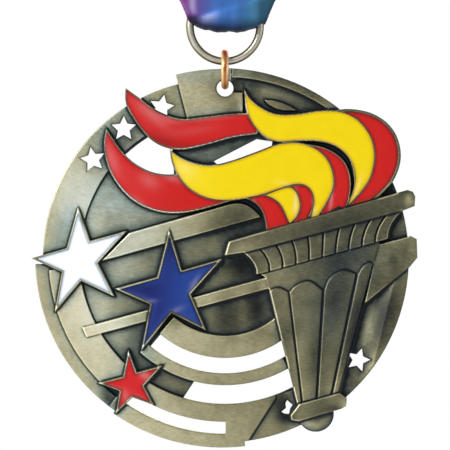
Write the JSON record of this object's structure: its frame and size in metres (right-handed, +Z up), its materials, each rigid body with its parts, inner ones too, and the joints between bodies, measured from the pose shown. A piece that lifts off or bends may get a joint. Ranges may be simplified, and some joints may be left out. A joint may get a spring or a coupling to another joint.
{
  "type": "medal",
  "caption": "Openwork die-cast finisher medal with enamelled stars and a flaming torch, hung by a copper jump ring and a brass ring from a neck ribbon wound up and tied.",
  "frame": {"origin": "the peg that the wound-up ribbon hangs from, at the inside top of the skein's eye", "axes": "+Z is up and is the longest extent; the medal's face looks along -Y; +X is to the right of someone looking at the face"},
  "size_m": [0.0644, 0.0096, 0.1359],
  "materials": {
    "antique_brass": "antique brass plate, darkened in the recesses and relieved on the high faces",
    "red_enamel": "glossy soft enamel",
    "yellow_enamel": "glossy soft enamel",
    "white_enamel": "glossy soft enamel",
    "blue_enamel": "glossy soft enamel",
    "copper_plate": "polished copper plate",
    "pale_brass": "polished pale brass plate",
    "satin_ribbon": "satin printed in a fade of violet, blue and teal across its width",
    "seam_thread": "polyester sewing thread",
    "elastic_tie": "flat woven elastic"
  },
  "bodies": {
    "ribbon": {"neck_ribbon": "satin_ribbon", "ribbon_stitching": "seam_thread", "skein_tie": "elastic_tie"},
    "ribbon_ring": {"ribbon_ring": "pale_brass"},
    "jump_ring": {"jump_ring": "copper_plate"},
    "medal": {"medal_casting": "antique_brass", "enamel_red_upper": "red_enamel", "enamel_red_outer": "red_enamel", "enamel_red_lower": "red_enamel", "enamel_red_middle": "red_enamel", "enamel_red_small": "red_enamel", "enamel_red_base": "red_enamel", "enamel_yellow_middle": "yellow_enamel", "enamel_yellow_small": "yellow_enamel", "enamel_yellow_upper": "yellow_enamel", "enamel_white_star": "white_enamel", "enamel_blue_star": "blue_enamel", "enamel_red_star": "red_enamel"}
  },
  "joints": [
    {"name": "ribbon_ring_tilt", "type": "hinge", "parent": "ribbon", "child": "ribbon_ring", "pos_m": [0, 0, -0.05549], "axis": [1, 0, 0], "range_deg": [-15, 15]},
    {"name": "jump_ring_slide", "type": "hinge", "parent": "ribbon_ring", "child": "jump_ring", "pos_m": [0, 0, -0.06134], "axis": [0, 1, 0], "range_deg": [-40, 40]},
    {"name": "medal_swing", "type": "hinge", "parent": "jump_ring", "child": "medal", "pos_m": [0, 0, -0.06856], "axis": [1, 0, 0], "range_deg": [-50, 50]}
  ]
}
